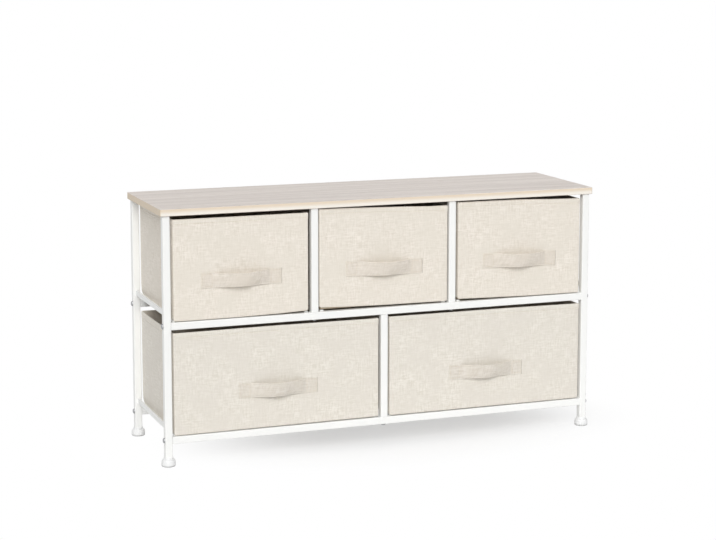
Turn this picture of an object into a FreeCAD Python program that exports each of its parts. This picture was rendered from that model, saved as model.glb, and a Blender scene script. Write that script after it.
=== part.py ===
import FreeCAD, Part
import math
import os

# Fabric drawer dresser: a steel tube frame with a laminated top board and five fabric drawers.
# Millimetres. X runs along the width, Y from front to back (the front is -Y), Z up.
# The origin is on the floor, at the middle of the whole footprint with the pulls counted in.

Vec = FreeCAD.Vector
UP = Vec(0, 0, 1)
DOWN = Vec(0, 0, -1)

# ---- Driving dimensions -------------------------------------------------------------------

# Top board: laminated fibreboard with eased edges.
board_width = 1000.0
board_depth = 290.0
board_thick = 15.0
board_corner_round = 2.5
board_edge_bevel = 0.8
total_height = 550.0

# Frame: square steel tube, 1 mm wall, the same size for posts, rails and dividers.
tube = 16.0
tube_wall = 1.0
tube_corner = 2.0
side_overhang = 5.5        # board beyond the posts' outer side faces
end_overhang = 4.0         # board beyond the posts' front and rear faces
low_rail_bottom = 48.0
mid_rail_bottom = 293.0
upper_divider_x = 160.0    # the two upper dividers stand this far either side of the middle
top_bar_thick = 2.0        # flat bar across each pair of posts, under the board
top_bar_corner = 3.0

# Guide bars: flat strips on edge that keep the drawers apart sideways.
guide_height = 12.0
guide_thick = 2.5
guide_above_rail = 11.0

# Runner strips: flat steel from the front rail to the rear rail, two under each drawer.
runner_width = 8.0
runner_thick = 3.0
runner_inset = 6.0         # from the side of the bay
runner_front_inset = 9.0   # behind the front face of the rail

# Feet: moulded, flared, with a stem that pushes into the tube.
foot_height = 19.0
foot_radius = 15.0
foot_sole_radius = 12.5
foot_collar_radius = 11.2
foot_heel_height = 2.2     # the sole's edge is cut off up to this height
foot_shoulder = 8.0        # height at which the flare starts
foot_flare_steps = 3       # cones that make the hollow flare
foot_flare_hollow = 1.6    # above 1, the flare curves inward
stem_length = 16.0
fit_gap = 0.15             # between a plug and the tube it sits in, each side

# Frame bolts with button heads, and the threaded inserts that they screw into.
fixing_flats = 12          # bolts, screws and their holes are turned forms with this many flats
bolt_radius = 3.0
bolt_hole_radius = 3.3
bolt_head_radius = 5.75
bolt_head_height = 3.3
bolt_grip = 12.0           # how far a bolt reaches into its insert
insert_length = 14.0
insert_bore_radius = 3.3
socket_width = 0.7         # hexagon socket across its flats, as a share of the head's radius
socket_depth = 0.6         # and its depth, as a share of the head's height

# Locating pegs on the lower divider.
peg_radius = 3.5
peg_hole_radius = 3.9
peg_height = 6.0

# Screws that hold the board down.
screw_radius = 2.0
screw_hole_radius = 2.3
screw_head_radius = 3.8
screw_head_height = 2.3
screw_bite = 10.0          # length in the board
screw_spread = 90.0        # either side of the middle of the bar

# Drawers: fabric walls with bonded stiffening, a board sewn into the front, a loose base board.
small_width = 298.0
large_width = 461.0
drawer_depth = 256.0
drawer_setback = 2.0       # drawer front behind the posts' front faces
upper_headroom = 7.0       # drawer rim to the underside of the board
lower_headroom = 7.5       # drawer rim to the underside of the middle rail
slide_gap = 0.3            # drawer floor above the runner strips
wall = 2.5
floor_thick = 1.5
skin = 1.0                 # outer fabric of the front
lining = 1.0               # inner fabric of the front
front_board_thick = 3.0
front_hem_drop = 1.8       # the front's lower hem hangs below the floor
pocket_side_seam = 6.0
pocket_top_seam = 4.0
board_play = 0.5
base_board_thick = 3.0
base_board_play = 1.0
base_board_corner = 5.0    # its rear corners are cut off to clear the bin's round ones
rear_corner_round = 9.0
front_corner_round = 3.0
inner_front_round = 1.0

# Pulls: a strap sewn flat at both ends, arched forward between them.
pull_length = 179.0
pull_height = 34.0
pull_thick = 2.0
pull_tab = 28.0
pull_reach = 22.0          # drawer front to the strap's outer face
pull_centre = 82.0         # above the drawer's floor

# Round corners in plan are made of a few straight steps, and feet of this many flats.
corner_steps = 3
foot_flats = 24

# ---- Worked out from the above -------------------------------------------------------------

pull_past_board = pull_reach - end_overhang - drawer_setback
foot_past_board = foot_radius - tube / 2 - end_overhang
middle_y = (pull_past_board - foot_past_board) / 2
front_y = middle_y - board_depth / 2 + end_overhang
rear_y = middle_y + board_depth / 2 - end_overhang
left_x = -board_width / 2 + side_overhang
board_bottom = total_height - board_thick
post_top = board_bottom - top_bar_thick
mid_rail_top = mid_rail_bottom + tube
low_rail_top = low_rail_bottom + tube
half_tube = tube / 2
tube_inside = tube - 2 * tube_wall
post_x = {"left": left_x + half_tube, "right": -left_x - half_tube}
post_y = {"front": front_y + half_tube, "rear": rear_y - half_tube}
rail_length = 2 * (post_x["right"] - half_tube)
front_thick = skin + front_board_thick + lining


# ---- Small helpers ---------------------------------------------------------------------------

def flat_face(corners):
    """A flat face with these corners."""
    return Part.Face(Part.makePolygon(corners + corners[:1]))


def rounded_plan(half_width, front, rear, front_round, rear_round):
    """A rectangle in plan whose corners are rounded in a few straight steps, as a face."""
    at_front = front + front_round
    at_rear = rear - rear_round
    centres = [
        (half_width - front_round, at_front, front_round),
        (half_width - rear_round, at_rear, rear_round),
        (rear_round - half_width, at_rear, rear_round),
        (front_round - half_width, at_front, front_round),
    ]
    corners = []
    for quarter, (x, y, radius) in enumerate(centres):
        centre = Vec(x, y, 0)
        for step in range(corner_steps + 1):
            turn = math.pi / 2 * (quarter - 1 + step / corner_steps)
            corners.append(centre + Vec(math.cos(turn), math.sin(turn), 0) * radius)
    return flat_face(corners)


def aim(shape, place, direction):
    """Turns a shape from +Z to a direction, then moves it to its place."""
    shape.Placement = FreeCAD.Placement(place, FreeCAD.Rotation(UP, direction))
    return shape


def square_tube(start, direction, length):
    """A hollow square tube from its start point."""
    plan = rounded_plan(half_tube, -half_tube, half_tube, tube_corner, tube_corner)
    outer = plan.extrude(UP * length)
    return aim(outer.cut(square_bar(tube_inside, length)), start, direction)


def square_bar(side, length):
    """A square bar from the origin upwards."""
    return Part.makeBox(side, side, length, Vec(-side / 2, -side / 2, 0))


def block(low, high):
    """A box between two corners."""
    return Part.makeBox(high[0] - low[0], high[1] - low[1], high[2] - low[2], Vec(*low))


def uprights(shape):
    """The upright edges of a block, from its front to its rear."""
    standing = [e for e in shape.Edges if e.BoundBox.ZLength > 1e-3]
    return sorted(standing, key=lambda e: e.BoundBox.Center.y)


def turned(outline, flats):
    """A form turned about Z, with flats for a round; the outline holds pairs of radius and height."""
    turns = [2 * math.pi * (n + 0.5) / flats for n in range(flats)]
    rings = [[Vec(r * math.cos(t), r * math.sin(t), z) for t in turns] for r, z in outline]
    faces = [flat_face(rings[0]), flat_face(rings[-1])]
    for low, high in zip(rings, rings[1:]):
        for n in range(flats):
            faces.append(flat_face([low[n - 1], low[n], high[n], high[n - 1]]))
    return Part.Solid(Part.Shell(faces)).removeSplitter()


def hole(centre, direction, radius, length):
    """A drill of the given length, centred on a point."""
    return aim(turned([(radius, -length / 2), (radius, length / 2)], fixing_flats), centre, direction)


def save(name, *solids):
    """Writes one node."""
    shape = solids[0] if len(solids) == 1 else Part.makeCompound(list(solids))
    shape.exportStep("parts/" + name + ".step")


# ---- Fixings ------------------------------------------------------------------------------------

def button_bolt(under_head, direction, length, radius, head_radius, head_height):
    """A bolt with a coned head and a hexagon socket; direction is the way that its shank points."""
    bolt = turned(
        [
            (head_radius * 0.6, -head_height),
            (head_radius, -head_height * 0.4),
            (head_radius, 0),
            (radius, 0),
            (radius, length),
        ],
        fixing_flats,
    )
    corner = socket_width * head_radius / 2 / math.cos(math.pi / 6)
    socket = turned([(corner, -head_height), (corner, -head_height * (1 - socket_depth))], 6)
    return aim(bolt.cut(socket), under_head, direction)


def threaded_insert(mouth, direction):
    """A square plug with a bore, pushed into a tube's end; direction points into the tube."""
    body = square_bar(tube_inside - 2 * fit_gap, insert_length)
    body = body.cut(hole(Vec(0, 0, 0), UP, insert_bore_radius, 3 * insert_length))
    return aim(body, mouth, direction)


# ---- Top board -----------------------------------------------------------------------------------

def screw_places():
    """Under each flat top bar, two screws."""
    xs = [post_x["left"], -upper_divider_x, upper_divider_x, post_x["right"]]
    return [(x, middle_y + side * screw_spread) for x in xs for side in (-1, 1)]


def top_board():
    """The board: round plan corners, bevelled edges, blind pilot holes underneath."""
    half = board_depth / 2
    plan = rounded_plan(board_width / 2, -half, half, board_corner_round, board_corner_round)
    board = plan.extrude(UP * board_thick)
    rims = [e for e in board.Edges if e.BoundBox.ZLength < 1e-6]
    board = board.makeChamfer(board_edge_bevel, rims)
    board.translate(Vec(0, middle_y, board_bottom))
    for x, y in screw_places():
        board = board.cut(hole(Vec(x, y, board_bottom), UP, screw_hole_radius, 2 * screw_bite + 2))
    return board


def board_screws():
    """Screws with coned heads, up through the top bars into the board."""
    length = top_bar_thick + screw_bite
    return [
        button_bolt(Vec(x, y, post_top), UP, length, screw_radius, screw_head_radius, screw_head_height)
        for x, y in screw_places()
    ]


# ---- Frame ----------------------------------------------------------------------------------------

def rail_heights():
    """The middle lines of the low and the middle rails."""
    return [bottom + half_tube for bottom in (low_rail_bottom, mid_rail_bottom)]


def corner_post(side, end):
    """A leg and post in one tube, drilled for the two rail bolts."""
    x = post_x[side]
    y = post_y[end]
    post = square_tube(Vec(x, y, foot_height), UP, post_top - foot_height)
    for z in rail_heights():
        post = post.cut(hole(Vec(x, y, z), Vec(1, 0, 0), bolt_hole_radius, 2 * tube))
    return post


def long_rail(bottom, end):
    """A rail from the left posts to the right ones, with the holes for the dividers' fixings."""
    z = bottom + half_tube
    rail = square_tube(Vec(-rail_length / 2, post_y[end], z), Vec(1, 0, 0), rail_length)
    if bottom == mid_rail_bottom:
        for x in (-upper_divider_x, upper_divider_x):
            rail = rail.cut(hole(Vec(x, post_y[end], z), UP, bolt_hole_radius, 2 * tube))
        under = Vec(0, post_y[end], bottom)
        return rail.cut(hole(under, UP, peg_hole_radius, tube))
    return rail.cut(hole(Vec(0, post_y[end], z), UP, bolt_hole_radius, 2 * tube))


def divider_post(x, end, bottom, top):
    return square_tube(Vec(x, post_y[end], bottom), UP, top - bottom)


def guide_bar(x, rail_top):
    """A flat strip on edge, welded between a front and a rear post."""
    z = rail_top + guide_above_rail
    return block(
        (x - guide_thick / 2, front_y + tube, z),
        (x + guide_thick / 2, rear_y - tube, z + guide_height),
    )


def top_bar(x):
    """A flat bar across the tops of a front and a rear post, drilled for the board's screws."""
    bar = block(
        (x - half_tube, front_y, post_top),
        (x + half_tube, rear_y, board_bottom),
    )
    bar = bar.makeChamfer(top_bar_corner, uprights(bar))
    for side in (-1, 1):
        bar = bar.cut(hole(Vec(x, middle_y + side * screw_spread, post_top), UP, screw_hole_radius, tube))
    return bar


def runner_pair(bay, rail_top):
    """Two flat strips across the rails, one near each side of a bay."""
    strips = []
    for x in (bay[0] + runner_inset, bay[1] - runner_inset - runner_width):
        strips.append(
            block(
                (x, front_y + runner_front_inset, rail_top),
                (x + runner_width, rear_y - runner_front_inset, rail_top + runner_thick),
            )
        )
    return strips


def divider_feet():
    """Where each divider stands: its x, and the underside of its rail."""
    return [
        (-upper_divider_x, mid_rail_bottom),
        (upper_divider_x, mid_rail_bottom),
        (0.0, low_rail_bottom),
    ]


def fixing_points():
    """Each bolt's place under its head, and the way that its shank points."""
    points = []
    for y in post_y.values():
        for z in rail_heights():
            for inward in (1, -1):
                points.append((Vec(inward * left_x, y, z), Vec(inward, 0, 0)))
        for x, bottom in divider_feet():
            points.append((Vec(x, y, bottom), UP))
    return points


def frame_bolts():
    """Bolts from outside through a post into a rail, and from below through a rail into a divider."""
    return [
        button_bolt(place, way, tube + bolt_grip, bolt_radius, bolt_head_radius, bolt_head_height)
        for place, way in fixing_points()
    ]


def threaded_inserts():
    """A plug for each bolt, just inside the tube beyond the one that the bolt goes through."""
    return [threaded_insert(place + way * tube, way) for place, way in fixing_points()]


def divider_pegs():
    """Plugs in the tops of the lower divider's posts; each peg stands up into the middle rail."""
    pegs = []
    outline = [(peg_radius, -1), (peg_radius, peg_height - 1), (peg_radius - 1, peg_height)]
    for y in post_y.values():
        plug = square_bar(tube_inside - 2 * fit_gap, insert_length)
        plug.translate(DOWN * insert_length)
        whole = plug.fuse(turned(outline, fixing_flats))
        whole.translate(Vec(0, y, mid_rail_bottom))
        pegs.append(whole)
    return pegs


# ---- Feet --------------------------------------------------------------------------------------------

def foot(x, y):
    """A flared foot turned about its axis, with a square stem for the tube."""
    outline = [(foot_sole_radius, 0), (foot_radius, foot_heel_height), (foot_radius, foot_shoulder)]
    for step in range(1, foot_flare_steps + 1):
        share = step / foot_flare_steps
        spread = (foot_radius - foot_collar_radius) * (1 - share) ** foot_flare_hollow
        rise = (foot_height - foot_shoulder) * share
        outline.append((foot_collar_radius + spread, foot_shoulder + rise))
    stem = square_bar(tube_inside - 2 * fit_gap, stem_length)
    stem.translate(UP * foot_height)
    whole = turned(outline, foot_flats).fuse(stem)
    whole.translate(Vec(x, y, 0))
    return whole


# ---- Drawers -----------------------------------------------------------------------------------------

def drawer_bin(width, height):
    """The fabric bin, front face at y = 0 and floor at z = 0, with the pocket for its front board."""
    half = width / 2
    outside = rounded_plan(half, 0, drawer_depth, front_corner_round, rear_corner_round)
    outside = outside.extrude(UP * height)
    inner_round = rear_corner_round - wall
    inside = rounded_plan(half - wall, front_thick, drawer_depth - wall, inner_front_round, inner_round)
    inside = inside.extrude(UP * height)
    inside.translate(UP * floor_thick)
    hem = block(
        (-half + front_corner_round, 0, -front_hem_drop),
        (half - front_corner_round, front_thick, 0),
    )
    pocket = block(
        (-half + pocket_side_seam, skin, -front_hem_drop),
        (half - pocket_side_seam, skin + front_board_thick, height - pocket_top_seam),
    )
    return outside.cut(inside).fuse(hem).removeSplitter().cut(pocket)


def front_board(width, height):
    """The stiff sheet in the front's pocket."""
    half = width / 2 - pocket_side_seam - board_play
    return block(
        (-half, skin, -front_hem_drop + board_play),
        (half, skin + front_board_thick, height - pocket_top_seam - board_play),
    )


def base_board(width):
    """The loose sheet on the drawer's floor, its rear corners cut to the bin's."""
    half = width / 2 - wall - base_board_play
    sheet = block(
        (-half, front_thick + base_board_play, floor_thick),
        (half, drawer_depth - wall - base_board_play, floor_thick + base_board_thick),
    )
    return sheet.makeChamfer(base_board_corner, uprights(sheet)[2:])


def pull_strap():
    """The strap in plan, then its height: out from a tab, over the crown and back, in tangent arcs."""
    run = pull_length / 2 - pull_tab
    rise = pull_reach - pull_thick
    turn = 2 * math.atan2(rise, run)
    radius = run / (2 * math.sin(turn))

    def leg(shift):
        """Half of one face, from its end to its crown, this far in front of the sewn face."""
        bend_radius = radius - shift
        centre = Vec(-run, -radius, 0)
        leave = Vec(-run, -shift, 0)
        bend = centre + Vec(math.sin(turn / 2), math.cos(turn / 2), 0) * bend_radius
        swap = centre + Vec(math.sin(turn), math.cos(turn), 0) * bend_radius
        top = Vec(0, -rise - shift, 0)
        crown_radius = radius + shift
        middle = Vec(0, radius - rise, 0)
        over = middle - Vec(math.sin(turn / 2), math.cos(turn / 2), 0) * crown_radius
        return [
            Part.LineSegment(Vec(-pull_length / 2, -shift, 0), leave).toShape(),
            Part.Arc(leave, bend, swap).toShape(),
            Part.Arc(swap, over, top).toShape(),
        ]

    across = Vec(0, -pull_thick, 0)
    end = Vec(-pull_length / 2, 0, 0)
    crown = Vec(0, -rise, 0)
    cuts = [Part.LineSegment(at, at + across).toShape() for at in (end, crown)]
    outline = leg(0)[::-1] + cuts[:1] + leg(pull_thick) + cuts[1:]
    half = Part.Face(Part.Wire(outline)).extrude(UP * pull_height)
    strap = half.fuse(half.mirror(Vec(0, 0, 0), Vec(1, 0, 0))).removeSplitter()
    strap.translate(Vec(0, 0, pull_centre - pull_height / 2))
    return strap


def drawer_bays():
    """Each drawer: name, sides of its bay, width, top of the rail under it, height of its rim."""
    outer = post_x["right"] - half_tube
    inner = upper_divider_x - half_tube
    beyond = upper_divider_x + half_tube
    upper_rim = board_bottom - upper_headroom
    lower_rim = mid_rail_bottom - lower_headroom
    return [
        ("top_left", (-outer, -beyond), small_width, mid_rail_top, upper_rim),
        ("top_middle", (-inner, inner), small_width, mid_rail_top, upper_rim),
        ("top_right", (beyond, outer), small_width, mid_rail_top, upper_rim),
        ("low_left", (-outer, -half_tube), large_width, low_rail_top, lower_rim),
        ("low_right", (half_tube, outer), large_width, low_rail_top, lower_rim),
    ]


def build_drawers():
    for name, bay, width, rail_top, rim in drawer_bays():
        floor_z = rail_top + runner_thick + slide_gap
        place = Vec((bay[0] + bay[1]) / 2, front_y + drawer_setback, floor_z)
        height = rim - floor_z
        pieces = {
            "bin": drawer_bin(width, height),
            "front_board": front_board(width, height),
            "base_board": base_board(width),
            "pull": pull_strap(),
        }
        for piece, shape in pieces.items():
            shape.translate(place)
            save("drawer_" + name + "_" + piece, shape)
        save("runners_" + name, *runner_pair(bay, rail_top))


def build_frame():
    save("top_board", top_board())
    for side in post_x:
        for end in post_y:
            save("post_" + end + "_" + side, corner_post(side, end))
            save("foot_" + end + "_" + side, foot(post_x[side], post_y[end]))
        save("guide_bar_mid_" + side, guide_bar(post_x[side], mid_rail_top))
        save("guide_bar_low_" + side, guide_bar(post_x[side], low_rail_top))
        save("top_bar_" + side, top_bar(post_x[side]))
    for end in post_y:
        save("rail_mid_" + end, long_rail(mid_rail_bottom, end))
        save("rail_low_" + end, long_rail(low_rail_bottom, end))
        save("divider_low_" + end, divider_post(0.0, end, low_rail_top, mid_rail_bottom))
        for side, x in (("left", -upper_divider_x), ("right", upper_divider_x)):
            save("divider_top_" + side + "_" + end, divider_post(x, end, mid_rail_top, post_top))
    for side, x in (("left", -upper_divider_x), ("right", upper_divider_x)):
        save("divider_guide_bar_" + side, guide_bar(x, mid_rail_top))
        save("divider_top_bar_" + side, top_bar(x))
    save("divider_guide_bar_low", guide_bar(0.0, low_rail_top))
    save("frame_bolts", *frame_bolts())
    save("threaded_inserts", *threaded_inserts())
    save("divider_pegs", *divider_pegs())
    save("board_screws", *board_screws())


os.makedirs("parts", exist_ok=True)
build_frame()
build_drawers()
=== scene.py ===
# %% [markdown]
# # A fabric drawer dresser
# The model in the frame holds every rigid piece of the dresser at its real size: a white steel
# tube frame, a laminated top board, five drawers and their fixings. This lesson loads it, gives
# each piece the finish of the real material, and models what a plain solid can't show: the sewn
# drawers with their hems and seams, the strap pulls, and the rounder feet and bolt heads.

# %% Load the frame
import bpy
import math
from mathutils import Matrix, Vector, noise


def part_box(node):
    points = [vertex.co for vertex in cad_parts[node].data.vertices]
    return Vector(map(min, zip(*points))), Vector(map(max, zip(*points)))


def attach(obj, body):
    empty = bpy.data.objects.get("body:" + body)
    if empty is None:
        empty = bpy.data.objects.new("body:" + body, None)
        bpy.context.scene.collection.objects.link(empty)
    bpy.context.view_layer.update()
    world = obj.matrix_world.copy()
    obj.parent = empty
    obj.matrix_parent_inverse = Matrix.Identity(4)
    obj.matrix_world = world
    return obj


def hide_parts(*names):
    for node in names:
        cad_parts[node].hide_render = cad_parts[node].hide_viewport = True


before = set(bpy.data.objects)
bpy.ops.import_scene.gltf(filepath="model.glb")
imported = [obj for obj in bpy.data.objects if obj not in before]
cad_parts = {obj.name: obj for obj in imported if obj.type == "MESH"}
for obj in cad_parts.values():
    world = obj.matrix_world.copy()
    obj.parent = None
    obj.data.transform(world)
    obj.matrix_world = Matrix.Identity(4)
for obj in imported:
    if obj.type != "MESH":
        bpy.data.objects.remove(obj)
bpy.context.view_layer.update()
print("pieces in the frame:", len(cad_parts))

# %% [markdown]
# The script thinks in millimetres, as the maker's drawing does, and turns them to metres only
# when a mesh is made. Reading a piece's box from the frame keeps every new piece on the old one.

# %% Millimetres
MM = 0.001


def box_mm(piece):
    """A frame piece's lowest and highest corners, in millimetres."""
    low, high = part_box(piece)
    return [c / MM for c in low], [c / MM for c in high]


print("top board:", [round(b - a) for a, b in zip(*box_mm("top_board"))], "mm")

# %% [markdown]
# The camera stands where a person would to see the front and the left side: four metres away, a
# little to the left and at chest height. It has a long lens and is tilted down by only 8 degrees,
# so that the posts look nearly upright. A shift frames the dresser without more tilt.

# %% Camera
TILT_DOWN, TURN_RIGHT = 0.13988, 0.35686      # radians

camera = bpy.data.objects.new("camera", bpy.data.cameras.new("camera"))
bpy.context.collection.objects.link(camera)
camera.location = Vector((-1458.06, -3879.05, 1111.07)) * MM
camera.rotation_euler = (math.pi / 2 - TILT_DOWN, 0, -TURN_RIGHT)
camera.data.lens = 94.44
camera.data.sensor_width = 36
camera.data.shift_y = -0.0978
bpy.context.scene.camera = camera
print("camera", [round(c, 2) for c in camera.location])

# %% [markdown]
# Colours are written as a designer writes them, as sRGB hex values. The shaders calculate with
# light, so one function turns the values to linear ones.

# %% Colour


def colour(hex_value):
    """An sRGB hex colour as linear red, green, blue and alpha."""
    channels = [int(hex_value[n:n + 2], 16) / 255 for n in (0, 2, 4)]
    linear = [c / 12.92 if c <= 0.04045 else ((c + 0.055) / 1.055) ** 2.4 for c in channels]
    return (*linear, 1.0)


print("pale linen in linear light:", [round(c, 3) for c in colour("F2EBE1")])

# %% [markdown]
# A material is a small network of nodes. One function adds a node, sets it up and links what
# feeds it, so that the network reads from top to bottom like a recipe. A node that feeds another
# gives its first output, and where another output is meant, it is named.

# %% One node at a time


def add(tree, kind, feeds=None, **settings):
    """Adds a node. settings are its own options; feeds are values, sockets or nodes."""
    made = tree.nodes.new(kind)
    for name, value in settings.items():
        setattr(made, name, value)
    for name, value in (feeds or {}).items():
        if isinstance(value, bpy.types.Node):
            value = next(output for output in value.outputs if output.enabled)
        if isinstance(value, bpy.types.NodeSocket):
            tree.links.new(value, made.inputs[name])
        else:
            made.inputs[name].default_value = value
    return made


def blank_material(name):
    """A new material and its empty tree of nodes."""
    material = bpy.data.materials.new(name)
    material.use_nodes = True
    material.node_tree.nodes.clear()
    return material, material.node_tree


# %% [markdown]
# The frame is steel tube with a white powder coat. The powder melts in an oven into a film about
# 0.1 mm thick. That gives the eye a satin white with a fine orange-peel ripple of about 2 mm, and
# no metal shows through, so it is a plain dielectric with a middling roughness.

# %% Powder-coated steel
PEEL = 2.0              # millimetres, the size of the orange peel's ripples
FILM = 70.0             # the size of the places where the film is a little thicker


def powder_coat():
    material, tree = blank_material("powder_coated_steel_white")
    place = add(tree, "ShaderNodeTexCoord").outputs["Object"]
    peel = add(
        tree, "ShaderNodeTexNoise",
        {"Vector": place, "Scale": 1 / (PEEL * MM), "Detail": 2.0},
    )
    film = add(
        tree, "ShaderNodeTexNoise",
        {"Vector": place, "Scale": 1 / (FILM * MM), "Detail": 3.0},
    )
    tone = add(
        tree, "ShaderNodeMix",
        {"Factor": film, 6: colour("F2F3F1"), 7: colour("F8F8F6")},
        data_type="RGBA",
    )
    gloss = add(tree, "ShaderNodeMapRange", {"Value": film, "To Min": 0.34, "To Max": 0.46})
    bump = add(tree, "ShaderNodeBump", {"Height": peel, "Strength": 0.25, "Distance": 0.05 * MM})
    shader = add(
        tree, "ShaderNodeBsdfPrincipled",
        {"Base Color": tone, "Roughness": gloss, "Normal": bump, "IOR": 1.5},
    )
    add(tree, "ShaderNodeOutputMaterial", {"Surface": shader})
    return material


POWDER_COAT = powder_coat()
print("made", POWDER_COAT.name)

# %% [markdown]
# The top is fibreboard with a printed oak paper under melamine, and a thin band of the same print
# round its edges. Printed oak shows long fine pores and slow broad figure along the board, all
# pale and slightly greyed. The melamine is smooth, so the bump is shallow and the sheen is even.
#
# The band has the print's warm tone along its upper half and the pale paper below it. On the two
# short ends it is painted browner, a painted shade for the board's shaded left end. A face is part
# of the band where it doesn't look up or down.

# %% Edge band of the board
BAND_PALE_TO = 5.0         # the band is pale up to here from the board's underside
BAND_WARM_FROM = 4.0       # and has its full tone from here below the board's face


def edge_band(tree, place):
    """How far a face is part of the band, and the band's tone there, with painted shade on its
    ends.
    """
    normal = add(tree, "ShaderNodeNewGeometry").outputs["Normal"]
    facing = add(tree, "ShaderNodeSeparateXYZ", {"Vector": normal}).outputs
    level = add(tree, "ShaderNodeMath", {0: facing["Z"]}, operation="ABSOLUTE")
    side_on = add(
        tree, "ShaderNodeMapRange",
        {"Value": level, "From Min": 0.3, "From Max": 0.6, "To Min": 1.0, "To Max": 0.0},
    )
    height = add(tree, "ShaderNodeSeparateXYZ", {"Vector": place}).outputs["Z"]
    underside, face = (corner[2] for corner in box_mm("top_board"))
    pale_to, warm_from = (underside + BAND_PALE_TO) * MM, (face - BAND_WARM_FROM) * MM
    warm = add(
        tree, "ShaderNodeMapRange",
        {"Value": height, "From Min": pale_to, "From Max": warm_from},
    )
    band = add(
        tree, "ShaderNodeMix",
        {"Factor": warm, 6: colour("F3EDE3"), 7: colour("E6D6C0")},
        data_type="RGBA",
    )
    # painted shade: faces that look left or right get a browner band
    end_shade_share = add(tree, "ShaderNodeMath", {0: facing["X"]}, operation="ABSOLUTE")
    ends = add(
        tree, "ShaderNodeMix",
        {"Factor": end_shade_share, 6: band, 7: colour("D9C8AF")},
        data_type="RGBA",
    )
    return side_on, ends


print("band pale up to", BAND_PALE_TO, "mm over the board's underside")

# %% [markdown]
# The face of the board is the print itself. Two noises are stretched along the board: a fine one
# for the pores and a broad one for the figure.

# %% Laminated board
PORES = (26.0, 0.9, 0.9)   # millimetres along the board, across it and down through it
FIGURE = (700.0, 26.0, 26.0)


def laminated_board():
    material, tree = blank_material("melamine_pale_oak")
    place = add(tree, "ShaderNodeTexCoord").outputs["Object"]
    pores_at = add(
        tree, "ShaderNodeMapping",
        {"Vector": place, "Scale": [1 / (size * MM) for size in PORES]},
    )
    pores = add(
        tree, "ShaderNodeTexNoise",
        {"Vector": pores_at, "Scale": 1.0, "Detail": 3.0, "Distortion": 0.3},
    )
    figure_at = add(
        tree, "ShaderNodeMapping",
        {"Vector": place, "Scale": [1 / (size * MM) for size in FIGURE]},
    )
    figure = add(
        tree, "ShaderNodeTexNoise",
        {"Vector": figure_at, "Scale": 1.0, "Detail": 8.0, "Roughness": 0.68, "Distortion": 0.2},
    )
    figure_share = add(
        tree, "ShaderNodeMapRange",
        {"Value": figure, "From Min": 0.34, "From Max": 0.66},
    )
    broad = add(
        tree, "ShaderNodeMix",
        {"Factor": figure_share, 6: colour("CFC5BD"), 7: colour("EBE2DB")},
        data_type="RGBA",
    )
    pore_share = add(
        tree, "ShaderNodeMapRange",
        {"Value": pores, "From Min": 0.5, "From Max": 0.7, "To Max": 0.6},
    )
    grain = add(
        tree, "ShaderNodeMix",
        {"Factor": pore_share, 6: broad, 7: colour("B7A596")},
        data_type="RGBA",
    )
    side_on, ends = edge_band(tree, place)
    banded = add(tree, "ShaderNodeMix", {"Factor": side_on, 6: grain, 7: ends}, data_type="RGBA")
    bump = add(tree, "ShaderNodeBump", {"Height": pores, "Strength": 0.2, "Distance": 0.05 * MM})
    shader = add(
        tree, "ShaderNodeBsdfPrincipled",
        {"Base Color": banded, "Roughness": 0.42, "Normal": bump, "IOR": 1.5},
    )
    add(tree, "ShaderNodeOutputMaterial", {"Surface": shader})
    return material


OAK_PRINT = laminated_board()
print("made", OAK_PRINT.name)

# %% [markdown]
# The drawers' cloth is a linen-look polyester: threads of uneven thickness, some bleached and
# some ecru, in a plain weave. To the eye that is a soft cross-hatch of short slubs over a pale
# ground, with slow patches where a batch of thread ran darker. The real threads are about 0.5 mm
# apart, too fine to show in a render, so the weave is drawn at 1.5 mm and its slubs at 3.6 mm.
# It runs along x + y and up z, so that one cloth serves the front, the sides and the rear.

# %% Woven cloth
THREAD = 1.5            # millimetres from thread to thread, as drawn
SLUB_WIDTH = 3.6
SLUB_LENGTH = 20.0
PATCH = 55.0            # the size of the slow patches


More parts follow.
